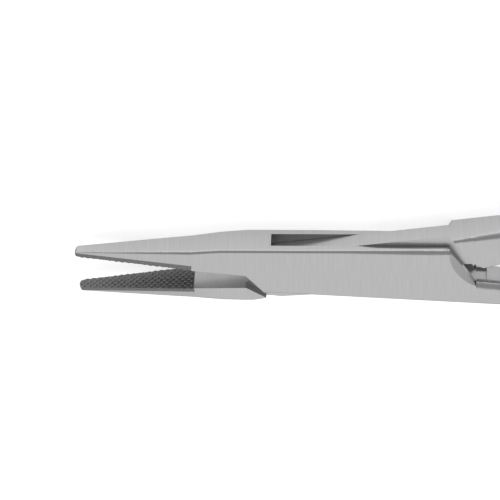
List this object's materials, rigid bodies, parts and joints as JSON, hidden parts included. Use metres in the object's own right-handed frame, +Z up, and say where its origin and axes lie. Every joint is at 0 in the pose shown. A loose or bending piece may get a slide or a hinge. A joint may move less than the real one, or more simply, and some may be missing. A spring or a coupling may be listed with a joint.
{
  "type": "surgical needle holder",
  "caption": "Box-lock needle holder in satin steel with carbide jaw inserts, ratchet arms and finger rings, lying a little open.",
  "frame": {"origin": "under the pivot of the box lock, on the plane that the instrument lies on", "axes": "+X from the pivot towards the finger rings, +Y the side of the upper jaw, +Z up through the thickness"},
  "size_m": [0.1484, 0.075, 0.0037],
  "materials": {
    "steel": "satin, brushed across the length",
    "carbide": "dark matt, cut with crossed grooves"
  },
  "bodies": {
    "box_arm": {"female_half": "steel", "upper_jaw_insert": "carbide", "pivot_pin": "steel"},
    "tongue_arm": {"male_half": "steel", "lower_jaw_insert": "carbide"}
  },
  "joints": [
    {"name": "box_lock_pivot", "type": "hinge", "parent": "box_arm", "child": "tongue_arm", "pos_m": [0, 0, 0], "axis": [0, 0, 1], "range_deg": [-8.75, 30]}
  ]
}
